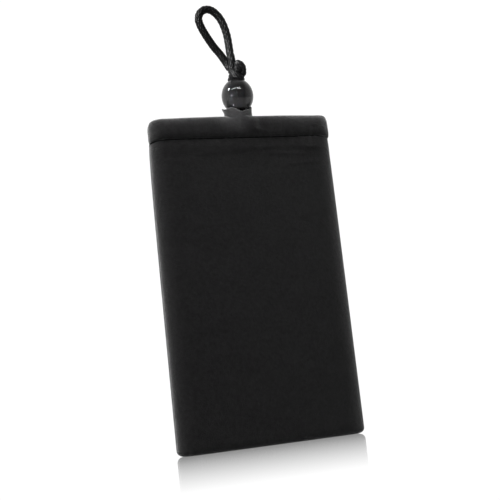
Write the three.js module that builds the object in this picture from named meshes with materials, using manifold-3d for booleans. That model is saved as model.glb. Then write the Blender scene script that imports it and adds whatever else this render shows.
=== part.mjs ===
// A soft velvet drawstring pouch for a pair of glasses, standing on its bottom seam.
// Millimetres, +Z up. The front faces -Y and the origin is the middle of the bottom.
// Two halves, front and back, meet at y = 0, where the side and bottom seams join them.

import * as THREE from 'three';
import { mergeVertices } from 'three/addons/utils/BufferGeometryUtils.js';
import Module from 'manifold-3d';

// Driving dimensions of the pouch.
const WIDTH = 92;
const HEIGHT = 160;
const BODY_DEPTH = 15;
const SIDE_RADIUS = 6.4;
const CLOTH = 1.6;
const LINING = 0.8;
const HEM_PROUD = 0.5;
const HEM_LEG = 0.8;
const HEM_INNER_LEG = 0.5;
const CREASE_Z = 150.4;

// Driving dimensions of the cord and what is on it.
const CORD = 3.8;
const CHANNEL = 4.4;
const STRAND_SPACING = 4.1;
const COLLAR_WALL = 0.8;
const COLLAR_HEIGHT = 2.1;
const BEAD = 16;
const BEAD_HEIGHT = 14.6;
const BEAD_BORE = 8.5;
const BEAD_Z = 172;
const KNOT = { x: 0.9, z: 185.8, width: 9.5, depth: 9, height: 10 };
const FRONT_END = { x: 0.5, z: 184.8, length: 1.2 };
const RIGHT_END = { y: -5.6, z: 184.6, length: 1.4 };
const CORD_RISE = 4; // how high the drawstring lies over the lower end of the hem
const CORNER_LEAD = 4; // how many bend radii before the side the drawstring starts to turn

// Clearances and the width of a sewn line.
const GAP = 0.3;
const THREAD = 0.4;
const SEAM = 1.2;
const LEAST_RADIUS = 0.6;

// Facets.
const MERGE = 1e-4;
const ARC_STEPS = 5;
const COLLAR_STEPS = 8;
const CORNER_STEPS = 3;
const CORD_SIDES = 8;
const STRAND_SIDES = 12;
const FRONT_STEPS = 32;
const BACK_STEPS = 44;
const LOOP_STEPS = 36;
const BEAD_TURNS = 32;
const BEAD_STEPS = 14;
const KNOT_TURNS = 20;
const PAST = 2; // how far a cutting solid runs past what it cuts

// Places that follow from the sizes above.
const halfWidth = WIDTH / 2;
const halfDepth = BODY_DEPTH / 2;
const seamEdge = SEAM / 2 + GAP;
const panelTop = CREASE_Z - THREAD / 2 - GAP;
const hemBottom = CREASE_Z + THREAD / 2 + GAP;
const hem = { halfWidth: halfWidth + HEM_PROUD, halfDepth: halfDepth + HEM_PROUD };
const hemRadius = SIDE_RADIUS + HEM_PROUD;
const channelOuter = HEM_LEG;
const channelInner = HEM_LEG + CHANNEL;
const channelTop = HEIGHT - HEM_LEG;
const cordInset = HEM_LEG + CHANNEL / 2;
const cordY = -(hem.halfDepth - cordInset);
const cordSideX = hem.halfWidth - cordInset;
const cordRadius = CORD / 2;
const channelZ = hemBottom + CORD_RISE;

// Each strand's turn from the slot into the channel: how far out, how high above the channel.
const TURN_ROUTE = [
  [STRAND_SPACING / 2, 3.3],
  [2.6, 1.5],
  [4.4, 0.3],
  [7.5, 0],
  [18, 0],
];

// The loop leaves the top of the knot, leans over to the left and comes back behind itself.
const LOOP_ROUTE = [
  [-1.5, -6.6, 191.3],
  [-1.9, -6.6, 193.4],
  [-2.0, -6.5, 196.2],
  [-2.1, -6.3, 199.6],
  [-2.3, -6.0, 203.2],
  [-2.9, -5.7, 206.9],
  [-3.9, -5.4, 210.6],
  [-5.6, -5.2, 214.0],
  [-8.6, -5.0, 217.0],
  [-12.0, -4.8, 217.6],
  [-14.8, -4.6, 215.6],
  [-15.7, -4.4, 212.4],
  [-14.8, -4.2, 208.8],
  [-13.2, -4.0, 205.4],
  [-11.2, -3.8, 201.8],
  [-8.9, -3.5, 198.2],
  [-6.3, -3.2, 194.9],
  [-4.6, -2.9, 192.4],
  [-3.4, -2.6, 190.5],
];

const wasm = await Module();
wasm.setup();

const velvet = new THREE.MeshStandardMaterial({ color: 0x1c1c1e, roughness: 0.95, metalness: 0 });
const liningCloth = new THREE.MeshStandardMaterial({ color: 0x141416, roughness: 0.7, metalness: 0 });
const thread = new THREE.MeshStandardMaterial({ color: 0x0c0c0d, roughness: 0.6, metalness: 0 });
const braid = new THREE.MeshStandardMaterial({ color: 0x111112, roughness: 0.75, metalness: 0 });
const smoked = new THREE.MeshStandardMaterial({ color: 0x2b2b2d, roughness: 0.08, metalness: 0 });

const pouch = new THREE.Group();

function addMesh(name, geometry, material) {
  const mesh = new THREE.Mesh(geometry, material);
  mesh.name = name;
  pouch.add(mesh);
  return mesh;
}

// Turned half a turn about Z, a front half becomes the back half.
function addBackMesh(name, geometry, material) {
  const mesh = addMesh(name, geometry, material);
  mesh.rotation.z = Math.PI;
  return mesh;
}

function toManifold(geometry) {
  const bare = geometry.clone();
  bare.deleteAttribute('normal');
  bare.deleteAttribute('uv');
  const merged = mergeVertices(bare, MERGE);
  const vertProperties = new Float32Array(merged.attributes.position.array);
  const triVerts = new Uint32Array(merged.index.array);
  return new wasm.Manifold(new wasm.Mesh({ numProp: 3, vertProperties, triVerts }));
}

function toGeometry(manifold) {
  const { vertProperties, triVerts, numProp } = manifold.getMesh();
  const positions = [];
  for (let i = 0; i < vertProperties.length; i += numProp) {
    positions.push(vertProperties[i], vertProperties[i + 1], vertProperties[i + 2]);
  }
  const geometry = new THREE.BufferGeometry();
  geometry.setAttribute('position', new THREE.Float32BufferAttribute(positions, 3));
  geometry.setIndex(Array.from(triVerts));
  geometry.computeVertexNormals();
  return geometry;
}

function cut(geometry, ...tools) {
  const start = toManifold(geometry);
  return toGeometry(tools.reduce((solid, tool) => solid.subtract(toManifold(tool)), start));
}

// The front half of a rounded rectangle, from the front face back to y = -edge.
function halfOutline(width, depth, radius, edge) {
  const outline = new THREE.Shape();
  outline.moveTo(-width, -edge);
  outline.lineTo(-width, radius - depth);
  outline.absarc(radius - width, radius - depth, radius, Math.PI, 1.5 * Math.PI, false);
  outline.lineTo(width - radius, -depth);
  outline.absarc(width - radius, radius - depth, radius, 1.5 * Math.PI, 2 * Math.PI, false);
  outline.lineTo(width, -edge);
  outline.closePath();
  return outline;
}

function prism(outline, bottom, top) {
  const options = { depth: top - bottom, bevelEnabled: false, curveSegments: ARC_STEPS };
  return new THREE.ExtrudeGeometry(outline, options).translate(0, 0, bottom);
}

function box(low, high) {
  const size = high.map((value, i) => value - low[i]);
  const middle = high.map((value, i) => (value + low[i]) / 2);
  return new THREE.BoxGeometry(...size).translate(...middle);
}

// A body panel or lining, with its half of the bottom: an outer shell less an inner one.
function panelHalf(inset, thickness) {
  const width = halfWidth - inset;
  const depth = halfDepth - inset;
  const radius = SIDE_RADIUS - inset;
  const outside = prism(halfOutline(width, depth, radius, seamEdge), inset, panelTop);
  const within = halfOutline(width - thickness, depth - thickness, radius - thickness, -PAST);
  return cut(outside, prism(within, inset + thickness, panelTop + PAST));
}

// The hem's outline, brought in by an inset and ended at the seam or past it.
function hemOutline(inset, edge = -PAST) {
  const radius = Math.max(hemRadius - inset, LEAST_RADIUS);
  return halfOutline(hem.halfWidth - inset, hem.halfDepth - inset, radius, edge);
}

// The space of the drawstring's channel: a ring between the hem's outer and inner legs.
function channelHalf(bottom, top) {
  const ring = prism(hemOutline(channelOuter), bottom, top);
  return cut(ring, prism(hemOutline(channelInner), bottom - PAST, top + PAST));
}

function hemHalf() {
  const folded = prism(hemOutline(0, seamEdge), hemBottom, HEIGHT);
  const mouth = prism(hemOutline(channelInner + HEM_INNER_LEG), hemBottom - PAST, HEIGHT + PAST);
  return cut(folded, channelHalf(hemBottom - PAST, channelTop), mouth);
}

// The cord comes out of the front hem through a slot in its folded top.
function exitSlot() {
  const side = STRAND_SPACING / 2 + cordRadius + GAP;
  const reach = CHANNEL / 2;
  return box([-side, cordY - reach, channelZ], [side, cordY + reach, HEIGHT + PAST]);
}

// The row of stitches that closes the channel runs through every layer of the crease.
function hemStitching() {
  const bottom = CREASE_Z - THREAD / 2;
  const line = prism(hemOutline(2 * HEM_PROUD, seamEdge), bottom, bottom + THREAD);
  const inner = hemOutline(channelInner + HEM_INNER_LEG);
  return cut(line, prism(inner, bottom - PAST, bottom + PAST));
}

// The side seam is one sewn strip: the body's full cloth, then the hem's outer leg.
function sideSeam(side) {
  const outline = new THREE.Shape();
  outline.moveTo(halfWidth - CLOTH, 0);
  outline.lineTo(halfWidth, 0);
  outline.lineTo(halfWidth, hemBottom);
  outline.lineTo(hem.halfWidth, hemBottom);
  outline.lineTo(hem.halfWidth, HEIGHT);
  outline.lineTo(hem.halfWidth - HEM_LEG, HEIGHT);
  outline.lineTo(hem.halfWidth - HEM_LEG, hemBottom);
  outline.lineTo(halfWidth - CLOTH, hemBottom - GAP);
  outline.closePath();
  const strip = new THREE.ExtrudeGeometry(outline, { depth: SEAM, bevelEnabled: false });
  strip.translate(0, 0, -SEAM / 2).rotateX(Math.PI / 2);
  return side < 0 ? strip.rotateZ(Math.PI) : strip;
}

function bottomSeam() {
  const reach = halfWidth - CLOTH - GAP;
  return box([-reach, -SEAM / 2, 0], [reach, SEAM / 2, CLOTH]);
}

function cordAlong(points, steps) {
  const section = new THREE.Shape();
  for (let i = 0; i < CORD_SIDES; i += 1) {
    const angle = (i * 2 * Math.PI) / CORD_SIDES;
    const step = i === 0 ? 'moveTo' : 'lineTo';
    section[step](cordRadius * Math.cos(angle), cordRadius * Math.sin(angle));
  }
  section.closePath();
  const path = new THREE.CatmullRomCurve3(points.map((p) => new THREE.Vector3(...p)));
  return new THREE.ExtrudeGeometry(section, { steps, bevelEnabled: false, extrudePath: path });
}

// The points of the cord's turn round the side of the pouch, from the front face to y = 0.
function cornerRoute(side) {
  const radius = hemRadius - cordInset;
  const points = [[side * (cordSideX - CORNER_LEAD * radius), cordY, channelZ]];
  for (let i = 0; i <= CORNER_STEPS; i += 1) {
    const angle = (i * Math.PI) / (2 * CORNER_STEPS);
    const x = cordSideX - radius + radius * Math.sin(angle);
    points.push([side * x, cordY + radius - radius * Math.cos(angle), channelZ]);
  }
  points.push([side * cordSideX, -GAP / 2, channelZ]);
  return points;
}

// Half of the drawstring in the front hem: down from the slot, then out to the side.
function drawstringFront(side) {
  const turn = TURN_ROUTE.map(([out, up]) => [side * out, cordY, channelZ + up]);
  const top = [side * (STRAND_SPACING / 2), cordY, HEIGHT - GAP];
  return cordAlong([top, ...turn, ...cornerRoute(side)], FRONT_STEPS);
}

function drawstringBack() {
  const left = cornerRoute(-1).reverse();
  return cordAlong([...left, [0, cordY, channelZ], ...cornerRoute(1)], BACK_STEPS);
}

// One of the two strands that rise from the hem, through the bead, to the knot.
function strand(side) {
  const top = KNOT.z - KNOT.height / 2 - GAP;
  const geometry = new THREE.CylinderGeometry(cordRadius, cordRadius, top - HEIGHT, STRAND_SIDES);
  geometry.rotateX(Math.PI / 2);
  return geometry.translate(side * (STRAND_SPACING / 2), cordY, (top + HEIGHT) / 2);
}

// A slot's outline with round ends, wide enough for the two strands side by side.
function strandOutline(path, radius) {
  const end = STRAND_SPACING / 2;
  path.absarc(end, 0, radius, -Math.PI / 2, Math.PI / 2, false);
  path.absarc(-end, 0, radius, Math.PI / 2, 1.5 * Math.PI, false);
  path.closePath();
  return path;
}

// The hem's cloth is drawn up into a low collar round the two strands.
function exitGather() {
  const hole = CHANNEL / 2;
  const outline = strandOutline(new THREE.Shape(), hole + COLLAR_WALL);
  outline.holes.push(strandOutline(new THREE.Path(), hole));
  const options = { depth: COLLAR_HEIGHT, bevelEnabled: false, curveSegments: COLLAR_STEPS };
  return new THREE.ExtrudeGeometry(outline, options).translate(0, cordY, HEIGHT + GAP);
}

function bead() {
  const radius = BEAD / 2;
  const start = Math.acos(BEAD_BORE / BEAD);
  const stretch = BEAD_HEIGHT / (2 * Math.sin(start));
  const profile = [];
  for (let i = 0; i <= BEAD_STEPS; i += 1) {
    const angle = start * ((2 * i) / BEAD_STEPS - 1);
    profile.push(new THREE.Vector2(radius * Math.cos(angle), stretch * Math.sin(angle)));
  }
  profile.push(profile[0].clone());
  const turned = new THREE.LatheGeometry(profile, BEAD_TURNS).rotateX(Math.PI / 2);
  return turned.translate(0, cordY, BEAD_Z);
}

function knot() {
  const ball = new THREE.SphereGeometry(0.5, KNOT_TURNS, KNOT_TURNS / 2).rotateX(Math.PI / 2);
  return ball.scale(KNOT.width, KNOT.depth, KNOT.height).translate(KNOT.x, cordY, KNOT.z);
}

// The two cut ends of the cord come out of the knot, one to the front and one to the right.
function cutEnd(length) {
  return new THREE.CylinderGeometry(cordRadius, cordRadius, length, STRAND_SIDES);
}

function frontEnd() {
  const start = cordY - KNOT.depth / 2 - GAP;
  return cutEnd(FRONT_END.length).translate(FRONT_END.x, start - FRONT_END.length / 2, FRONT_END.z);
}

function rightEnd() {
  const start = KNOT.x + KNOT.width / 2 + GAP;
  const end = cutEnd(RIGHT_END.length).rotateZ(Math.PI / 2);
  return end.translate(start + RIGHT_END.length / 2, RIGHT_END.y, RIGHT_END.z);
}

addMesh('outer_front', panelHalf(0, CLOTH), velvet);
addBackMesh('outer_back', panelHalf(0, CLOTH), velvet);
addMesh('lining_front', panelHalf(CLOTH + GAP, LINING), liningCloth);
addBackMesh('lining_back', panelHalf(CLOTH + GAP, LINING), liningCloth);
addMesh('hem_front', cut(hemHalf(), exitSlot()), velvet);
addBackMesh('hem_back', hemHalf(), velvet);
addMesh('hem_stitching_front', hemStitching(), thread);
addBackMesh('hem_stitching_back', hemStitching(), thread);
addMesh('side_seam_left', sideSeam(-1), thread);
addMesh('side_seam_right', sideSeam(1), thread);
addMesh('bottom_seam', bottomSeam(), thread);
addMesh('drawstring_front_left', drawstringFront(-1), braid);
addMesh('drawstring_front_right', drawstringFront(1), braid);
addBackMesh('drawstring_back', drawstringBack(), braid);
addMesh('exit_gather', exitGather(), velvet);
addMesh('cord_strand_left', strand(-1), braid);
addMesh('cord_strand_right', strand(1), braid);
addMesh('bead', bead(), smoked);
addMesh('knot', knot(), braid);
addMesh('cord_end_front', frontEnd(), braid);
addMesh('cord_end_right', rightEnd(), braid);
addMesh('loop_cord', cordAlong(LOOP_ROUTE, LOOP_STEPS), braid);

export default pouch;
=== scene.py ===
"""Looks for a soft black velvet drawstring pouch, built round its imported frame.

Metres, +Z up, front -Y.
"""

import math

import bpy
import numpy as np
from mathutils import Matrix, Vector, noise


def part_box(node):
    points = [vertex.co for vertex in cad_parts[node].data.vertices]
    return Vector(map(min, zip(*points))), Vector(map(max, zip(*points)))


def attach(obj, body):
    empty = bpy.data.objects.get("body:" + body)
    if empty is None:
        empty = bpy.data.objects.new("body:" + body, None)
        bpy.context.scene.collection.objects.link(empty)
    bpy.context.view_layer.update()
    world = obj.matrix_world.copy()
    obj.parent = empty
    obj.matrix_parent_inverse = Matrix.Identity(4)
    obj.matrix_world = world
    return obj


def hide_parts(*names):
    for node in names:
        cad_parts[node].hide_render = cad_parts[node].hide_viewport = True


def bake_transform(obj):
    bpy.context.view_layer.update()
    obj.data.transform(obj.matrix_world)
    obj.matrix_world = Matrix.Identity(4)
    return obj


MM = 0.001
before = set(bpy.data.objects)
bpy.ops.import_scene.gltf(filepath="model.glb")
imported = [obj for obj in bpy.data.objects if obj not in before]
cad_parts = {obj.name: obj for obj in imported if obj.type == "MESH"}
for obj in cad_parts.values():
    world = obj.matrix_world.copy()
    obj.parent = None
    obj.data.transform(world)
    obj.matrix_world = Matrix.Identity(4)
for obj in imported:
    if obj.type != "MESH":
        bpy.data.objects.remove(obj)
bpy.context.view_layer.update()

# Places read from the frame.
BODY_LOW, BODY_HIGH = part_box("outer_front")
HEM_LOW, HEM_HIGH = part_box("hem_front")
BEAD_LOW, BEAD_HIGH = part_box("bead")
KNOT_LOW, KNOT_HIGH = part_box("knot")
STRAND_LOW, STRAND_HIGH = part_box("cord_strand_right")

HALF_WIDTH = BODY_HIGH.x
HALF_DEPTH = -BODY_LOW.y
HEM_HALF_WIDTH = HEM_HIGH.x
HEM_HALF_DEPTH = -HEM_LOW.y
CREASE_Z = (BODY_HIGH.z + HEM_LOW.z) / 2
TOP_Z = HEM_HIGH.z
BEAD_CENTRE = (BEAD_LOW + BEAD_HIGH) / 2
BEAD_RADIUS = (BEAD_HIGH.x - BEAD_LOW.x) / 2
BEAD_HALF_HEIGHT = (BEAD_HIGH.z - BEAD_LOW.z) / 2
KNOT_CENTRE = (KNOT_LOW + KNOT_HIGH) / 2
CORD_RADIUS = (STRAND_HIGH.x - STRAND_LOW.x) / 2
STRAND_X = (STRAND_HIGH.x + STRAND_LOW.x) / 2
CORD_Y = BEAD_CENTRE.y
CHANNEL_Z = HEM_LOW.z + 4 * MM  # the drawstring's height in the hem

# Sizes of the cloth.
SIDE_RADIUS = 6.4 * MM
BODY_STRETCH = 1.5  # the body's corners are longer across the face than down the side
HEM_STRETCH = 1.1
BOTTOM_RADIUS = 2.6 * MM
LEAST_RADIUS = 0.05 * MM  # so that a ring never turns inside out
VELVET_THICK = 1.4 * MM
LINING_INSET = 2.2 * MM
LINING_THICK = 0.6 * MM
LINING_DETAIL = 0.6  # the share of the velvet's relief that the lining shows

# The hem lies a little to the right of the middle, and is a little wider than its plain shape.
HEM_SHIFT = 0.6 * MM
HEM_EASE = 0.2 * MM
HEM_CORNER_MM = 6.9  # the radius of its corners at the outer face

# How finely the cloth is meshed: columns across a face, points down a side, and steps round a corner.
BODY_COLUMNS = 110
HEM_COLUMNS = 150
SIDE_POINTS = 4
CORNER_STEPS = 12

# The body's rings: close together near the crease, wider below, then its rounded edge and its bottom.
FINE_STEP = 0.55 * MM
FINE_RINGS = 36
WIDE_RINGS = 100
EDGE_RINGS = 6
BOTTOM_RINGS = 4

# The cord's braid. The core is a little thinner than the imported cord, and the yarns stand out of it.
YARNS = 8
YARN_STEP = 2.8 * MM
BRAID_RELIEF = 0.36 * MM
BRAID_LEVEL = 0.6  # the height, from 0 to 1, of a yarn that lies at the core's radius
CORE_RADIUS = CORD_RADIUS - 0.03 * MM
CORD_STEP = 0.26 * MM
CORD_SIDES = 56
HIDDEN_CORD = {"spacing": 0.8 * MM, "sides": 16, "braid": 0.1 * MM}  # inside the hem, hardly seen
CURVE_STEPS = 24

# A cut end's dome: how high its rings and its tip rise, as shares of the radius.
DOME_RISE = 0.45
DOME_TIP = 0.48

# How far apart the stitches are and how long, on the seams and along the crease, and their thread.
SEAM_STEP = 2.6 * MM
SEAM_STITCH = 2.2 * MM
CREASE_STEP = 2.9 * MM
CREASE_STITCH = 2.6 * MM
CREASE_DEPTH = 0.25 * MM
STITCH_STEPS = 6
THREAD_RADIUS = 0.25 * MM
THREAD_SIDES = 8

# How finely the bead is cut: over its outside, round an edge, down the bore and all the way round.
OUTSIDE_STEPS = 48
ROUNDING_STEPS = 4
BORE_STEPS = 12
BEAD_TURNS = 72

# The loop's route, in millimetres, from the top of the knot over to the left and back behind itself,
# and the short ends that it has inside the knot.
LOOP_ROUTE = [
    (-1.5, -6.6, 191.3), (-1.9, -6.6, 193.4), (-2.0, -6.5, 196.2), (-2.1, -6.3, 199.6),
    (-2.3, -6.0, 203.2), (-2.9, -5.7, 206.9), (-3.9, -5.4, 210.6), (-5.6, -5.2, 214.0),
    (-8.6, -5.0, 217.0), (-12.0, -4.8, 217.6), (-14.8, -4.6, 215.6), (-15.7, -4.4, 212.4),
    (-14.8, -4.2, 208.8), (-13.2, -4.0, 205.4), (-11.2, -3.8, 201.8), (-8.9, -3.5, 198.2),
    (-6.3, -3.2, 194.9), (-4.6, -2.9, 192.4), (-3.4, -2.6, 190.5),
]
LOOP_START = [(-1.2, -4.9, 187.0), (-1.3, -5.9, 189.2)]
LOOP_END = [(-2.5, -2.6, 188.8), (-1.8, -3.0, 187.2)]

# The drawstring's way down from the exit: out from the middle and up from the channel, in millimetres.
EXIT_ROUTE = [(2.05, 4.6), (2.05, 3.3), (2.6, 1.5), (4.4, 0.3), (7.5, 0), (18, 0)]

# The two strands' turns in the knot and its two cut ends, in millimetres from the knot's middle.
KNOT_TURNS = [
    [
        (-2.95, 0.0, -6.6), (-2.8, 0.8, -5.0), (-1.9, 1.8, -3.0), (-1.2, 2.0, -0.8),
        (-0.8, 1.4, 1.0), (-0.5, -0.2, 2.2), (0.4, -1.7, 2.5), (1.8, -2.1, 1.8),
        (2.7, -1.7, 0.1), (2.8, -0.4, -1.9), (1.6, 1.2, -2.8), (-0.4, 2.2, -1.6), (-1.4, 1.8, 0.4),
    ],
    [
        (1.15, 0.0, -6.6), (1.5, -0.9, -5.7), (0.9, -2.0, -5.1), (-0.4, -2.6, -4.3),
        (-1.7, -2.3, -3.1), (-2.4, -1.2, -1.6), (-2.4, 0.4, -0.3), (-1.6, 1.6, 1.0),
    ],
]
FRONT_END = [(0.2, 0.8, 0.2), (0.1, -0.9, -0.1), (0.0, -2.1, -0.3), (-0.05, -3.2, -0.45)]
RIGHT_END = [(1.0, 1.0, -1.2), (2.2, 0.7, -1.1), (3.1, 0.4, -1.2), (3.9, 0.1, -1.3)]


# ---------------------------------------------------------------- camera, lights and stage

def make_camera():
    """The viewing angle: from the left, low, and a little rolled, so that the pouch seems to lean."""
    data = bpy.data.cameras.new("camera")
    data.lens = 62.7
    data.sensor_width = 36
    data.clip_start = 0.01
    camera = bpy.data.objects.new("camera", data)
    bpy.context.scene.collection.objects.link(camera)
    right = Vector((0.9595, -0.2607, -0.1071))
    up = Vector((0.0684, -0.1534, 0.9858))
    turn = Matrix((right, up, right.cross(up))).transposed().to_4x4()
    front_foot = Vector((0, -HALF_DEPTH, 0))
    from_foot = Vector((-0.1184, -0.4028, 0.0391))
    camera.matrix_world = Matrix.Translation(front_foot + from_foot) @ turn
    bpy.context.scene.camera = camera


def map_range(tree, value, from_low, from_high, low, high):
    """Maps value from one range to the other in a node tree, and holds it at the ends."""
    node = tree.nodes.new("ShaderNodeMapRange")
    node.inputs["From Min"].default_value = from_low
    node.inputs["From Max"].default_value = from_high
    node.inputs["To Min"].default_value = low
    node.inputs["To Max"].default_value = high
    tree.links.new(value, node.inputs["Value"])
    return node.outputs["Result"]


def way_back(tree, space):
    """How far back a place or a direction lies: its Y in the named texture space."""
    split = tree.nodes.new("ShaderNodeSeparateXYZ")
    tree.links.new(tree.nodes.new("ShaderNodeTexCoord").outputs[space], split.inputs[0])
    return split.outputs["Y"]


def aim_light(data, place, target):
    """Puts a light at place and turns it to target. It isn't seen through the bead."""
    light = bpy.data.objects.new(data.name, data)
    bpy.context.scene.collection.objects.link(light)
    light.rotation_euler = (Vector(target) - Vector(place)).to_track_quat("-Z", "Y").to_euler()
    light.location = place
    light.visible_transmission = False
    return light


def area_light(name, place, target, size, power):
    data = bpy.data.lights.new(name, "AREA")
    data.shape = "RECTANGLE"
    data.size, data.size_y = size
    data.energy = power
    return aim_light(data, place, target)


def spot_light(name, place, target, degrees, power):
    data = bpy.data.lights.new(name, "SPOT")
    data.energy = power
    data.spot_size = math.radians(degrees)
    data.spot_blend = 0.3
    data.shadow_soft_size = 0.006
    aim_light(data, place, target)


def make_world():
    """A bright sweep behind the pouch, and a dimmer room in front of it."""
    world = bpy.data.worlds.new("studio")
    world.use_nodes = True
    tree = world.node_tree
    background = tree.nodes["Background"]
    background.inputs["Color"].default_value = (1, 1, 1, 1)
    glow = map_range(tree, way_back(tree, "Generated"), -0.5, 0.6, 0.2, 1.04)
    tree.links.new(glow, background.inputs["Strength"])
    bpy.context.scene.world = world
    bpy.context.scene.view_settings.view_transform = "Standard"
    bpy.context.scene.view_settings.look = "None"


def make_lights():
    """Soft lights above, and narrow ones on the tassel. Sizes are in metres and powers in watts."""
    middle = (0, 0, 0.1)
    area_light("key", (-0.79, -0.11, 0.77), middle, (0.12, 0.12), 5.2)
    area_light("strip", (-0.24, -0.73, 0.81), middle, (1.05, 0.024), 4.7)
    top = area_light("top", (-0.04, 0.11, 0.8), middle, (0.9, 0.5), 35.0)
    top.visible_glossy = False
    spot_light("tassel", (-0.78, -0.5, 0.15), (0, CORD_Y, TOP_Z + 20 * MM), 1.7, 180.0)
    spot_light("loop", (-0.6, -0.45, 0.65), (-7 * MM, CORD_Y, TOP_Z + 44 * MM), 2.7, 100.0)
    spot_light("knot", (-0.62, -0.45, 0.6), (0.5 * MM, CORD_Y, TOP_Z + 27 * MM), 0.8, 130.0)
    spot_light("exit", (-0.42, -0.53, 0.32), (-4.5 * MM, CORD_Y - 3 * MM, TOP_Z + 3.5 * MM), 1.0, 170.0)


def floor_material():
    """White, and glowing round the pouch as a lit studio sweep does, with a faint mirror."""
    material = bpy.data.materials.new("floor")
    material.use_nodes = True
    tree = material.node_tree
    nodes, links = tree.nodes, tree.links
    nodes.clear()
    place = way_back(tree, "Object")
    # The glow falls off in front of the pouch. The mirror grows towards it and fades far behind it.
    glow = nodes.new("ShaderNodeEmission")
    links.new(map_range(tree, place, -0.7, -0.3, 0.2, 1.03), glow.inputs["Strength"])
    gloss = nodes.new("ShaderNodeBsdfGlossy")
    gloss.inputs["Color"].default_value = (1, 1, 1, 1)
    gloss.inputs["Roughness"].default_value = 0.05
    mirror = nodes.new("ShaderNodeMath")
    mirror.operation = "MULTIPLY"
    links.new(map_range(tree, place, -0.125, -0.005, 0.0, 0.76), mirror.inputs[0])
    links.new(map_range(tree, place, 0.2, 1.0, 1.0, 0.0), mirror.inputs[1])
    mix = nodes.new("ShaderNodeMixShader")
    links.new(mirror.outputs[0], mix.inputs["Fac"])
    links.new(glow.outputs[0], mix.inputs[1])
    links.new(gloss.outputs[0], mix.inputs[2])
    out = nodes.new("ShaderNodeOutputMaterial")
    links.new(mix.outputs[0], out.inputs["Surface"])
    return material


def make_floor():
    """A wide floor just under the pouch."""
    bpy.ops.mesh.primitive_plane_add(size=30, location=(0, 0, -0.0002))
    floor = bpy.context.object
    floor.name = "floor"
    floor.data.materials.append(floor_material())


# ---------------------------------------------------------------- materials

class Shader:
    """A material with a Principled shader, and short ways to add the nodes that feed it."""

    def __init__(self, name):
        self.material = bpy.data.materials.new(name)
        self.material.use_nodes = True
        self.nodes = self.material.node_tree.nodes
        self.links = self.material.node_tree.links
        self.bsdf = self.nodes["Principled BSDF"]
        self.place = self.nodes.new("ShaderNodeTexCoord").outputs["Object"]

    def set(self, **values):
        for name, value in values.items():
            self.bsdf.inputs[name.replace("_", " ")].default_value = value

    def noise(self, scale, detail=2.0, rough=0.5, stretch=None):
        texture = self.nodes.new("ShaderNodeTexNoise")
        texture.inputs["Scale"].default_value = scale
        texture.inputs["Detail"].default_value = detail
        texture.inputs["Roughness"].default_value = rough
        place = self.place
        if stretch:
            mapping = self.nodes.new("ShaderNodeMapping")
            mapping.inputs["Scale"].default_value = stretch
            self.links.new(place, mapping.inputs["Vector"])
            place = mapping.outputs["Vector"]
        self.links.new(place, texture.inputs["Vector"])
        return texture.outputs["Fac"]

    def spread(self, value, from_low=0.3, from_high=0.7):
        """Stretches the middle of a noise out to 0 and 1."""
        return map_range(self.material.node_tree, value, from_low, from_high, 0, 1)

    def math(self, how, a, b):
        node = self.nodes.new("ShaderNodeMath")
        node.operation = how
        for socket, value in zip(node.inputs, (a, b)):
            if isinstance(value, (int, float)):
                socket.default_value = value
            else:
                self.links.new(value, socket)
        return node.outputs["Value"]

    def weigh(self, a, share_a, b, share_b):
        """The sum of two values, each times its share."""
        return self.math("ADD", self.math("MULTIPLY", a, share_a), self.math("MULTIPLY", b, share_b))

    def grade(self, value, dark, light):
        """Base colour from dark to light as value goes from 0 to 1."""
        ramp = self.nodes.new("ShaderNodeMix")
        ramp.data_type = "RGBA"
        ramp.inputs["A"].default_value = (*dark, 1)
        ramp.inputs["B"].default_value = (*light, 1)
        self.links.new(value, ramp.inputs["Factor"])
        self.links.new(ramp.outputs["Result"], self.bsdf.inputs["Base Color"])

    def bump(self, height, distance, strength=1.0):
        node = self.nodes.new("ShaderNodeBump")
        node.inputs["Distance"].default_value = distance
        node.inputs["Strength"].default_value = strength
        self.links.new(height, node.inputs["Height"])
        self.links.new(node.outputs["Normal"], self.bsdf.inputs["Normal"])


def velvet_material():
    shader = Shader("velvet")
    shader.set(Roughness=0.9, Sheen_Weight=0.215, Sheen_Roughness=0.5, Specular_IOR_Level=0.08)
    mottle = shader.noise(600, 3.0, 0.6)
    pile = shader.noise(2600, 2.0, 0.6)
    tone = shader.spread(shader.weigh(mottle, 0.6, pile, 0.4), 0.35, 0.65)
    shader.grade(tone, (0.0008, 0.0008, 0.0009), (0.006, 0.006, 0.0062))
    shader.bump(shader.weigh(mottle, 0.6, pile, 0.8), 0.35 * MM, 0.8)
    return shader.material


def lining_material():
    shader = Shader("lining")
    shader.set(Roughness=0.65, Sheen_Weight=0.1, Specular_IOR_Level=0.3)
    warp = shader.noise(900, 1.0, 0.5, (1, 1, 0.12))
    weft = shader.noise(900, 1.0, 0.5, (0.12, 1, 1))
    weave = shader.weigh(warp, 0.5, weft, 0.5)
    shader.grade(shader.spread(weave, 0.4, 0.6), (0.008, 0.008, 0.0085), (0.017, 0.017, 0.018))
    shader.bump(weave, 0.15 * MM, 0.5)
    return shader.material


def cord_material():
    shader = Shader("cord")
    shader.set(Roughness=0.33, Specular_IOR_Level=0.052)
    fibre = shader.noise(5200, 2.0, 0.6)
    shader.grade(shader.spread(fibre), (0.0006, 0.0006, 0.0007), (0.003, 0.003, 0.0031))
    shader.bump(fibre, 0.08 * MM, 0.6)
    return shader.material


def thread_material():
    shader = Shader("thread")
    shader.set(Roughness=0.8, Specular_IOR_Level=0.0)
    twist = shader.noise(6000, 1.0, 0.5)
    shader.grade(shader.spread(twist), (0.002, 0.002, 0.0021), (0.006, 0.006, 0.0062))
    shader.bump(twist, 0.05 * MM, 0.4)
    return shader.material


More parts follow.
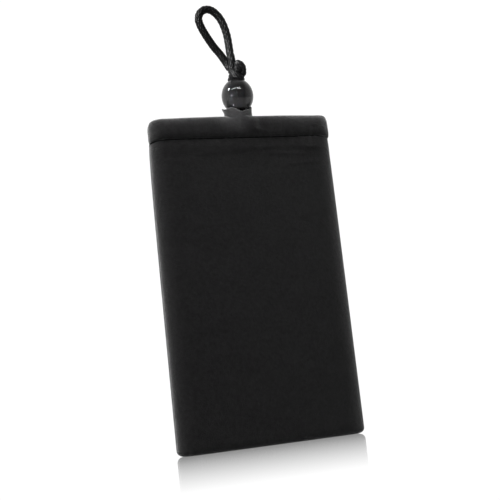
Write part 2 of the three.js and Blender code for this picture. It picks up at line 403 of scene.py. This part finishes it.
def bead_material():
    """Smoky resin: dark through the middle, greyer where the light has less of it to cross."""
    shader = Shader("bead")
    shader.set(Roughness=0.03, IOR=1.38, Transmission_Weight=0.92)
    cloud = shader.noise(160, 3.0, 0.6)
    shader.grade(shader.spread(cloud), (0.019, 0.019, 0.019), (0.034, 0.034, 0.034))
    return shader.material


# ---------------------------------------------------------------- mesh tools

def mesh_object(name, vertices, faces, material):
    mesh = bpy.data.meshes.new(name)
    mesh.from_pydata([tuple(v) for v in vertices], [], faces)
    mesh.validate()
    mesh.materials.append(material)
    mesh.shade_smooth()
    piece = bpy.data.objects.new(name, mesh)
    bpy.context.scene.collection.objects.link(piece)
    return piece


def grid_faces(rows, columns, rows_close=False, columns_close=False):
    faces = []
    for i in range(rows if rows_close else rows - 1):
        for j in range(columns if columns_close else columns - 1):
            row, next_row = i * columns, (i + 1) % rows * columns
            along = (j + 1) % columns
            faces.append((row + j, row + along, next_row + along, next_row + j))
    return faces


def apply_modifier(piece, kind, **settings):
    modifier = piece.modifiers.new(kind.lower(), kind)
    for name, value in settings.items():
        setattr(modifier, name, value)
    bpy.context.view_layer.objects.active = piece
    bpy.ops.object.modifier_apply(modifier=modifier.name)


def smooth_route(points, spacing, closed=False):
    """Evenly spaced points of a Catmull-Rom curve through the given ones."""
    p = [Vector(q) for q in points]
    ends = [p[-1], *p, p[0], p[1]] if closed else [2 * p[0] - p[1], *p, 2 * p[-1] - p[-2]]
    fine = []
    for a, b, c, d in zip(ends, ends[1:], ends[2:], ends[3:]):
        for k in range(CURVE_STEPS):
            t = k / CURVE_STEPS
            fine.append(0.5 * (2 * b + (c - a) * t + (2 * a - 5 * b + 4 * c - d) * t**2
                               + (3 * b - a - 3 * c + d) * t**3))
    fine.append(fine[0] if closed else p[-1])
    lengths = [0.0]
    for a, b in zip(fine, fine[1:]):
        lengths.append(lengths[-1] + (b - a).length)
    count = max(2, round(lengths[-1] / spacing) + 1)
    stations = np.linspace(0, lengths[-1], count)
    columns = [np.interp(stations, lengths, [q[i] for q in fine]) for i in range(3)]
    return [Vector(q) for q in zip(*columns)]


def braid_height(around, along):
    """The pillow of one yarn in a round braid, 0 to 1, at an angle in turns and a length in metres."""
    a = around * YARNS + along / YARN_STEP
    b = around * YARNS - along / YARN_STEP
    over = (math.floor(a) + math.floor(b)) % 2
    long_way, short_way = (a, b) if over else (b, a)
    return math.sin(math.pi * (long_way % 1)) ** 0.45 * math.sin(math.pi * (short_way % 1)) ** 0.9


def dome(ring, tip, outward):
    """Rings that close the cut end of a tube with a low dome."""
    rings = []
    for share in (0.35, 0.7, 0.92):
        turn = share * math.pi / 2
        shrink = math.cos(turn) ** 0.8
        rise = outward * (DOME_RISE * math.sin(turn))
        rings.append([tip + (place - tip) * shrink + rise for place in ring])
    return rings


def tube_rings(points, tangents, radius, sides, braid):
    """Rings of points round a route, without twist, with the braid's yarns raised by braid."""
    side = tangents[0].orthogonal().normalized()
    rings, along = [], 0.0
    for i, (point, tangent) in enumerate(zip(points, tangents)):
        side = (side - tangent * side.dot(tangent)).normalized()
        other = tangent.cross(side)
        if i:
            along += (point - points[i - 1]).length
        ring = []
        for k in range(sides):
            turn = 2 * math.pi * k / sides
            lift = braid * (braid_height(k / sides, along) - BRAID_LEVEL) if braid else 0.0
            ring.append(point + (side * math.cos(turn) + other * math.sin(turn)) * (radius + lift))
        rings.append(ring)
    return rings


def tube(points, radius, sides, braid=0.0, rounded=False):
    """Vertices and faces of a closed tube along points, with flat ends or rounded ones."""
    tangents = [(points[min(i + 1, len(points) - 1)] - points[max(i - 1, 0)]).normalized()
                for i in range(len(points))]
    rings = tube_rings(points, tangents, radius, sides, braid)
    first, last = points[0], points[-1]
    if rounded:
        before, after = -tangents[0] * radius, tangents[-1] * radius
        rings = [*reversed(dome(rings[0], first, before)), *rings, *dome(rings[-1], last, after)]
        first, last = first + before * DOME_TIP, last + after * DOME_TIP
    vertices = [place for ring in rings for place in ring] + [first, last]
    faces = [tuple(reversed(f)) for f in grid_faces(len(rings), sides, columns_close=True)]
    end = (len(rings) - 1) * sides
    for k in range(sides):
        after = (k + 1) % sides
        faces.append((after, k, len(vertices) - 2))
        faces.append((end + k, end + after, len(vertices) - 1))
    return vertices, faces


def join_parts(parts):
    vertices, faces = [], []
    for more, its_faces in parts:
        start = len(vertices)
        vertices += more
        faces += [tuple(start + v for v in face) for face in its_faces]
    return vertices, faces


def cord_piece(name, routes, material, rounded=False, spacing=CORD_STEP, sides=CORD_SIDES,
               braid=BRAID_RELIEF):
    parts = [tube(smooth_route(route, spacing), CORE_RADIUS, sides, braid, rounded) for route in routes]
    return mesh_object(name, *join_parts(parts), material)


# ---------------------------------------------------------------- the cloth's shape

def half_ring(half_width, half_depth, radius, face_count, stretch=BODY_STRETCH):
    """Points and outward normals of a rounded rectangle's front half, from the left seam to the right."""
    deep = max(min(radius, half_depth), LEAST_RADIUS)
    wide = deep * stretch
    points = []
    for y in np.linspace(0, min(deep - half_depth, 0.0), SIDE_POINTS + 1)[:-1]:
        points.append((-half_width, y, -1.0, 0.0))
    for k in range(CORNER_STEPS + 1):
        turn = math.pi / 2 * k / CORNER_STEPS
        out = Vector((-math.cos(turn) / wide, -math.sin(turn) / deep)).normalized()
        points.append((wide * (1 - math.cos(turn)) - half_width,
                       deep * (1 - math.sin(turn)) - half_depth, out.x, out.y))
    mirrored = [(-x, y, -nx, ny) for x, y, nx, ny in reversed(points)]
    for x in np.linspace(wide - half_width, half_width - wide, face_count + 1)[1:-1]:
        points.append((x, -half_depth, 0.0, -1.0))
    return points + mirrored


def ripple(x, z, back, size, seed):
    """Smooth noise over the cloth, with waves of about the given size, and other waves at the back."""
    return noise.noise(Vector((x / size, z / size, seed + (7.3 if back else 0.0))))


def bell(distance, width):
    """1 at no distance, and down to about a third at the given width."""
    return math.exp(-((distance / width) ** 2))


# Soft creases of both panels, in millimetres: middle x and z, half length, slope and height.
CREASES = [
    (20, 141.5, 14, -0.05, 0.17), (30, 136.5, 10, 0.08, 0.14), (8, 145.0, 10, 0.03, 0.18),
    (34, 144.5, 8, -0.10, 0.17), (-14, 143.0, 12, 0.06, 0.12), (-32, 139.0, 8, -0.08, 0.10),
    (14, 131.0, 11, 0.12, 0.09), (-24, 60.0, 16, 0.35, 0.12), (22, 34.0, 18, -0.30, 0.12),
]


def crease_lift(x, z):
    lift = 0.0
    for middle_x, middle_z, reach, slope, height in CREASES:
        across = z / MM - middle_z - slope * (x / MM - middle_x)
        along = (x / MM - middle_x) / reach
        lift += height * MM * math.exp(-(across / 1.1) ** 2 - along**2 * 1.5)
    return lift


def pucker(x, below, back):
    """Short folds that the stitched line draws into the cloth under the hem."""
    wander = 1.4 * ripple(x, 0, back, 11 * MM, 3.1)
    wave = math.sin(2 * math.pi * x / (5.4 * MM) + 4 * wander)
    strength = 0.55 + 0.6 * ripple(x, 1, back, 17 * MM, 9.0)
    return 0.22 * MM * wave * math.exp(-below / (3.4 * MM)) * strength


def crease_tilt(x):
    """The sewn crease runs slightly down from left to right, and droops at the sides."""
    droop = max(abs(x) - 40 * MM, 0.0) / (6 * MM)
    return (-0.1 - 0.35 * x / HALF_WIDTH - 0.65 * droop**2) * MM


def side_reach(x, z):
    """How far the sides stand out of the plain width: less under the hem, more at the lower right."""
    near_top = math.exp(-(CREASE_Z - z) / (12 * MM))
    if x > 0:
        return (0.7 + 0.6 * (1 - z / CREASE_Z) - 0.3 * near_top) * MM
    return (0.5 - 0.7 * near_top) * MM


def body_lift(x, y, z, back, detail=1.0):
    """How far the velvet stands out of the plain body shape at a point."""
    below = max(CREASE_Z - z, 0.0)
    across = 1 - min(abs(x) / HALF_WIDTH, 1.0) ** 4
    facing = min(abs(y) / (0.9 * HALF_DEPTH), 1.0) ** 3
    fullness = 0.45 * MM * across * math.sin(math.pi * min(max(z / CREASE_Z, 0.0), 1.0))
    broad_waves = 0.50 * MM * ripple(x, z, back, 46 * MM, 1.0) * across
    small_waves = 0.16 * MM * ripple(x, z, back, 13 * MM, 2.0) * facing
    groove = (0.25 + 0.2 * facing) * MM * math.exp(-below / (0.5 * MM))
    swell = (0.05 + 0.2 * facing) * MM * bell(below - 4.5 * MM, 3.0 * MM)
    lift = fullness + broad_waves + small_waves - groove + swell
    lift += pucker(x, below, back)
    lift += crease_lift(-x if back else x, z)
    seam = bell(y, 1.0 * MM) * min(z / (3 * MM), 1.0)
    return detail * lift - 0.3 * MM * seam


def body_rings():
    """Heights and insets of the rings that make a body wall, then its rounded edge and its bottom."""
    wall_top = CREASE_Z - 0.1 * MM
    near_top = [wall_top - k * FINE_STEP for k in range(FINE_RINGS)]
    rest = list(np.linspace(near_top[-1], BOTTOM_RADIUS, WIDE_RINGS))[1:]
    rings = [(z, 0.0) for z in [*near_top, *rest]]
    for k in range(1, EDGE_RINGS + 1):
        turn = math.pi / 2 * k / EDGE_RINGS
        rings.append((BOTTOM_RADIUS * (1 - math.sin(turn)), BOTTOM_RADIUS * (1 - math.cos(turn))))
    for inset in np.linspace(BOTTOM_RADIUS, HALF_DEPTH - LEAST_RADIUS, BOTTOM_RINGS + 1)[1:]:
        rings.append((0.0, float(inset)))
    return rings


def body_half(name, back, inset, thickness, material, detail=1.0):
    """One panel with its half of the sides and bottom, brought in by inset, and given its thickness."""
    turned = -1 if back else 1
    vertices, columns, rings = [], 0, body_rings()
    for z, more in rings:
        ring = half_ring(HALF_WIDTH - inset - more, HALF_DEPTH - inset - more,
                         SIDE_RADIUS - inset - more, BODY_COLUMNS)
        columns = len(ring)
        for x, y, nx, ny in ring:
            lift = 0.0 if z <= 0 else body_lift(x, y, z, back, detail) * min(z / (4 * MM), 1.0)
            lift += side_reach(turned * x, z) * nx**2 * (1 - more / HALF_DEPTH)
            crease = CREASE_Z + crease_tilt(turned * x)
            height = inset + z * (crease - inset) / CREASE_Z
            vertices.append((turned * (x + nx * lift), turned * (y + ny * lift), height))
    faces = [tuple(reversed(f)) for f in grid_faces(len(rings), columns)]
    piece = mesh_object(name, vertices, faces, material)
    apply_modifier(piece, "WELD", merge_threshold=0.002 * MM)
    apply_modifier(piece, "SOLIDIFY", thickness=thickness, offset=-1, use_even_offset=False)
    piece.data.set_sharp_from_angle(angle=math.radians(50))
    return piece


# The hem's closed section in millimetres: how far in from the outer face, and how high.
HEM_SECTION = [
    (0.90, -0.05), (0.42, 0.3), (0.12, 1.1), (-0.06, 2.6), (0.0, 4.8), (0.24, 6.8),
    (0.78, 8.45), (1.55, 9.5), (2.90, 10.0), (4.40, 9.6), (5.40, 8.4), (5.80, 6.4),
    (5.84, 3.6), (5.80, 0.3),
    (5.20, 0.3), (5.10, 3.6), (4.95, 6.4), (4.20, 7.9), (2.90, 8.6), (1.80, 8.0),
    (1.10, 6.6), (0.92, 4.2), (1.15, 2.0), (1.70, 0.3),
]

# Folds that run from the cord's exit into the front hem: from and to in x and height, width, lift.
TENT_FOLDS = [
    ((-1.0, 10.0), (5.0, 6.4), 2.8, 0.9), ((6.0, 8.6), (6.4, 4.4), 1.6, 0.55),
    ((-3.0, 10.0), (-9.0, 6.0), 2.0, 0.4), ((3.0, 9.0), (4.0, 3.4), 2.0, 0.4),
    ((-2.0, 9.8), (-5.0, 4.0), 1.6, 0.3), ((6.2, 3.6), (8.8, 3.4), 1.2, 0.5),
]


def near_segment(x, z, start, end):
    """Distance from a point to a segment, and how far along it the nearest place is."""
    a, b, p = Vector(start), Vector(end), Vector((x, z))
    share = min(max((p - a).dot(b - a) / (b - a).length_squared, 0.0), 1.0)
    return (p - a - (b - a) * share).length, share


def tent_lift(x, height):
    lift = 0.0
    for start, end, width, rise in TENT_FOLDS:
        gap, share = near_segment(x / MM, height / MM, start, end)
        lift += rise * MM * bell(gap, width) * (1 - 0.6 * share)
    return lift


def hem_lift(x, height, back):
    """How far the hem's outer face stands out over its plain section."""
    small_waves = 0.22 * MM * ripple(x, height, back, 9 * MM, 5.0)
    broad_waves = 0.35 * MM * ripple(x, 0, back, 30 * MM, 6.0)
    lift = small_waves + broad_waves + 0.7 * pucker(x, height, back)
    return lift if back else lift + tent_lift(x, height)


def hem_rise(x, back):
    """How far the hem's top edge stands over its plain height: crowned, and drawn up at the exit.

    At the back it gives way instead, where the bead lies when it is tipped right back.
    """
    right_x = -x if back else x
    across = 1 - min(abs(x) / HEM_HALF_WIDTH, 1.0) ** 2
    crown = (0.6 + 0.25 * ripple(x, 2, back, 15 * MM, 4.0)) * MM * across
    slope = (0.6 - 0.3 * right_x / HEM_HALF_WIDTH) * MM
    right_end = 0.7 * MM * bell(HEM_HALF_WIDTH - right_x, 5 * MM)
    middle = -0.8 * MM * bell(x, 8 * MM) if back else 1.0 * MM * bell(x, 3.5 * MM)
    corner = max(abs(x) - (HEM_HALF_WIDTH - 3 * MM), 0.0) / (3 * MM)
    return crown + slope + right_end + middle - 0.3 * MM * corner**2


def hem_half(name, back, material):
    """One half of the folded hem: its closed section swept from seam to seam."""
    section = smooth_route([(a, b, 0.0) for a, b in HEM_SECTION], spacing=0.42, closed=True)[:-1]
    turned = -1 if back else 1
    vertices, columns = [], 0
    for inset, height, _ in section:
        ring = half_ring(HEM_HALF_WIDTH + HEM_EASE - inset * MM, HEM_HALF_DEPTH - inset * MM,
                         (HEM_CORNER_MM - inset) * MM, HEM_COLUMNS, HEM_STRETCH)
        columns = len(ring)
        outer = 1 / (1 + math.exp((inset - 1.6) * 3))  # 1 on the outer face, 0 inside
        top = min(max((height - 5) / 4, 0.0), 1.0)  # 0 on the lower half, 1 at the top edge
        for x, y, nx, ny in ring:
            seam = bell(y, 1.6 * MM)
            lift = outer * (hem_lift(x, height * MM, back) * (1 - seam) - 0.4 * MM * seam)
            lift += outer * top * 0.45 * MM * nx**2
            tilt = crease_tilt(turned * x) * max(1 - height / 8, 0.0)
            z = CREASE_Z + height * MM + tilt + top * hem_rise(x, back)
            vertices.append((turned * (x + nx * lift) + HEM_SHIFT, turned * (y + ny * lift), z))
    faces = [tuple(reversed(f)) for f in grid_faces(len(section), columns, rows_close=True)]
    for column, flip in ((0, False), (columns - 1, True)):
        cap = [row * columns + column for row in range(len(section))]
        faces.append(tuple(reversed(cap)) if flip else tuple(cap))
    piece = mesh_object(name, vertices, faces, material)
    piece.data.set_sharp_from_angle(angle=math.radians(60))
    return piece


# The gathered collar's rim: angle in degrees, then distance out and height over COLLAR_Z, in millimetres.
COLLAR_Z = TOP_Z + 0.6 * MM
COLLAR_LEVELS = 13
COLLAR_RIM = [
    (-90, 3.0, 2.9), (-60, 3.6, 3.0), (-30, 4.9, 3.9), (-5, 6.2, 5.2), (15, 6.6, 6.6), (38, 5.6, 4.8),
    (75, 3.4, 3.4), (105, 3.4, 3.2), (140, 5.4, 4.2), (170, 8.3, 5.4), (192, 7.7, 4.3), (218, 5.8, 4.6),
    (245, 3.8, 3.5),
]


def oval(turn, half_width, half_depth, left, height):
    """A place on a flat oval, in millimetres, whose middle lies a little to the left."""
    return Vector((half_width * math.cos(turn) - left, half_depth * math.sin(turn), height))


def collar(material):
    """The hem's cloth drawn up and pinched round the two strands, under the bead."""
    rim = smooth_route([(r * math.cos(math.radians(a)), r * math.sin(math.radians(a)), h)
                        for a, r, h in COLLAR_RIM], spacing=0.45, closed=True)[:-1]
    vertices = []
    for level in np.linspace(0, 1, COLLAR_LEVELS):
        for point in rim:
            turn = math.atan2(point.y, point.x)
            foot = oval(turn, 7.0, 2.7, 0.6, -0.9)
            waist = oval(turn, 6.3, 2.5, 0.5, 0.35 * point.z)
            a, b = foot.lerp(waist, level), waist.lerp(point, level)
            x, y, z = a.lerp(b, level)
            vertices.append((x * MM, CORD_Y + y * MM, COLLAR_Z + z * MM))
    faces = grid_faces(COLLAR_LEVELS, len(rim), columns_close=True)
    piece = mesh_object("exit_gather_cloth", vertices, faces, material)
    apply_modifier(piece, "SOLIDIFY", thickness=0.8 * MM, offset=0)
    apply_modifier(piece, "SUBSURF", levels=1)
    return piece


def stitches(name, places, material, length=SEAM_STITCH):
    """A row of separate thread stitches, each a short arched capsule at (point, direction, outward)."""
    parts = []
    for point, direction, outward in places:
        route = []
        for k in range(STITCH_STEPS + 1):
            t = k / STITCH_STEPS * 2 - 1
            arch = 0.12 * MM * (1 - t * t) - 0.05 * MM
            route.append(point + direction * (t * length / 2) + outward * arch)
        parts.append(tube(route, THREAD_RADIUS, THREAD_SIDES, rounded=True))
    return mesh_object(name, *join_parts(parts), material)


def crease_stitches(name, back, material):
    """Stitches along the crease under one half of the hem, from the left side to the right."""
    turned = -1 if back else 1
    ring = half_ring(HALF_WIDTH - CREASE_DEPTH, HALF_DEPTH - CREASE_DEPTH,
                     SIDE_RADIUS - CREASE_DEPTH, BODY_COLUMNS)
    route = []
    for x, y, _, _ in ring[3:-3]:
        route.append((x, y, CREASE_Z + crease_tilt(turned * x) - 0.25 * MM))
    line = smooth_route(route, CREASE_STEP)
    places = []
    for a, b in zip(line, line[1:]):
        direction = (b - a).normalized()
        outward = Vector((direction.y, -direction.x, 0))
        spin = Vector((turned, turned, 1))
        places.append(((a + b) / 2 * spin, direction * spin, outward * spin))
    return stitches(name, places, material, CREASE_STITCH)


def side_stitches(name, side, material):
    """The closely sewn seam down one side, in the groove between the two panels."""
    points = []
    for z in np.arange(4 * MM, CREASE_Z - 2 * MM, SEAM_STEP):
        points.append((side * (HALF_WIDTH + side_reach(side, z) - 0.55 * MM), 0, float(z)))
    for z in np.arange(CREASE_Z + 2 * MM, TOP_Z - 3 * MM, SEAM_STEP):
        points.append((side * (HEM_HALF_WIDTH + HEM_EASE - 0.7 * MM) + HEM_SHIFT, 0, float(z)))
    places = [(Vector(point), Vector((0, 0, 1)), Vector((side, 0, 0))) for point in points]
    return stitches(name, places, material)


def bottom_stitches(name, material):
    places = []
    for x in np.arange(-HALF_WIDTH + 6 * MM, HALF_WIDTH - 5.9 * MM, SEAM_STEP):
        places.append((Vector((float(x), 0, 0.35 * MM)), Vector((1, 0, 0)), Vector((0, 0, -1))))
    return stitches(name, places, material)


# ---------------------------------------------------------------- the tassel

def bead_profile():
    """The drilled bead's section, as distances from its axis and heights: outside, then the bore."""
    bore, edge = STRAND_X + CORD_RADIUS + 0.3 * MM, 0.5 * MM
    edge_width = edge * 0.6
    start = math.acos((bore + edge_width) / BEAD_RADIUS)
    stretch = BEAD_HALF_HEIGHT / math.sin(start)
    outside = []
    for k in range(OUTSIDE_STEPS + 1):
        turn = -start + 2 * start * k / OUTSIDE_STEPS
        outside.append((BEAD_RADIUS * math.cos(turn), stretch * math.sin(turn)))
    top = outside[-1][1]
    top_edge = []
    for k in range(1, ROUNDING_STEPS + 1):
        turn = math.pi / 2 * k / ROUNDING_STEPS
        top_edge.append((bore + edge_width * (1 - math.sin(turn)), top - edge * (1 - math.cos(turn))))
    wall = [(bore, (top - edge) * (1 - 2 * k / BORE_STEPS)) for k in range(1, BORE_STEPS)]
    low_edge = [(radius, -height) for radius, height in reversed(top_edge)]
    return outside + top_edge + wall + low_edge


def bead_mesh(material):
    """The drilled bead: a sphere with softly rounded edges where the hole leaves it."""
    profile = bead_profile()
    vertices = []
    for radius, height in profile:
        for k in range(BEAD_TURNS):
            turn = 2 * math.pi * k / BEAD_TURNS
            place = Vector((radius * math.cos(turn), radius * math.sin(turn), height))
            vertices.append(BEAD_CENTRE + place)
    faces = grid_faces(len(profile), BEAD_TURNS, rows_close=True, columns_close=True)
    return mesh_object("smoky_bead", vertices, faces, material)


def scaled(points, origin=Vector((0, 0, 0))):
    return [Vector(p) * MM + origin for p in points]


def make_loop(cord):
    """The free loop, which leans to the left and comes back into the knot."""
    route = smooth_route(scaled(LOOP_START + LOOP_ROUTE + LOOP_END), CORD_STEP)
    loop = mesh_object("braided_loop", *tube(route, CORE_RADIUS, CORD_SIDES, BRAID_RELIEF), cord)
    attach(loop, "loop")
    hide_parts("loop_cord")


def make_knot(cord):
    """The knot, with the cord's two cut ends looking out of it."""
    knot = cord_piece("overhand_knot", [scaled(route, KNOT_CENTRE) for route in KNOT_TURNS], cord)
    front = cord_piece("cut_end_front", [scaled(FRONT_END, KNOT_CENTRE)], cord, rounded=True)
    right = cord_piece("cut_end_right", [scaled(RIGHT_END, KNOT_CENTRE)], cord, rounded=True)
    for piece, node in ((knot, "knot"), (front, "cord_end_front"), (right, "cord_end_right")):
        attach(piece, "cord_end")
        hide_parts(node)


def make_strands(cord):
    """The two strands through the bead, from just under the hem's top up into the knot."""
    low, high = TOP_Z - 0.8 * MM, KNOT_CENTRE.z - 6.4 * MM
    for side, name in ((-1, "left"), (1, "right")):
        route = [(side * STRAND_X, CORD_Y, z) for z in np.linspace(low, high, 8)]
        strand = cord_piece(f"strand_{name}", [route], cord)
        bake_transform(strand)
        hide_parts(f"cord_strand_{name}")


def corner_route(side):
    """The drawstring's way round the side of the hem, from the front face to the seam."""
    radius = 3.9 * MM
    side_x = HEM_HALF_WIDTH - 3.0 * MM
    points = [(side * (side_x - 4 * radius), CORD_Y, CHANNEL_Z)]
    for k in range(4):
        turn = math.pi / 6 * k
        points.append((side * (side_x - radius + radius * math.sin(turn)),
                       CORD_Y + radius - radius * math.cos(turn), CHANNEL_Z))
    return [*points, (side * side_x, -0.15 * MM, CHANNEL_Z)]


def make_drawstring(cord):
    """The cord in the hem's channel: two front runs that rise at the exit, and one back run."""
    for side, name in ((-1, "left"), (1, "right")):
        rise = [(side * out * MM, CORD_Y, CHANNEL_Z + up * MM) for out, up in EXIT_ROUTE]
        run = cord_piece(f"drawstring_{name}", [rise + corner_route(side)], cord, **HIDDEN_CORD)
        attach(run, "front_wall")
        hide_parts(f"drawstring_front_{name}")
    left = [(x, -y, height) for x, y, height in reversed(corner_route(-1))]
    right = [(x, -y, height) for x, y, height in corner_route(1)]
    route = [*left, (0, -CORD_Y, CHANNEL_Z), *right]
    back = cord_piece("drawstring_rear", [route], cord, **HIDDEN_CORD)
    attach(back, "pouch")
    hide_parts("drawstring_back")


def bend_with_mouth(piece):
    """Bakes the piece's placing into its mesh."""
    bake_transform(piece)


def make_cloth(velvet, lining):
    for back, word in ((False, "front"), (True, "back")):
        outer = body_half(f"velvet_{word}", back, 0.0, VELVET_THICK, velvet)
        inner = body_half(f"lining_{word}_cloth", back, LINING_INSET, LINING_THICK, lining,
                          LINING_DETAIL)
        hem = hem_half(f"hem_{word}_cloth", back, velvet)
        for piece, node, slot in ((outer, f"outer_{word}", "velvet"), (inner, f"lining_{word}", "lining"),
                                  (hem, f"hem_{word}", "velvet")):
            bend_with_mouth(piece)
            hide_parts(node)


def make_stitching(thread):
    rows = []
    for back, word in ((False, "front"), (True, "back")):
        row = crease_stitches(f"stitches_{word}", back, thread)
        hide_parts(f"hem_stitching_{word}")
        rows.append(row)
    for side, word in ((-1, "left"), (1, "right")):
        row = side_stitches(f"stitches_{word}", side, thread)
        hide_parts(f"side_seam_{word}")
        rows.append(row)
    row = bottom_stitches("stitches_bottom", thread)
    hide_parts("bottom_seam")
    rows.append(row)
    for row in rows:
        bend_with_mouth(row)


def make_exit(velvet):
    piece = collar(velvet)
    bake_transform(piece)
    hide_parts("exit_gather")


def make_bead(material):
    piece = bead_mesh(material)
    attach(piece, "bead")
    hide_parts("bead")


make_camera()
cord = cord_material()
velvet = velvet_material()
make_loop(cord)
make_knot(cord)
make_strands(cord)
make_drawstring(cord)
make_cloth(velvet, lining_material())
make_exit(velvet)
make_stitching(thread_material())
make_bead(bead_material())
make_world()
make_floor()
make_lights()
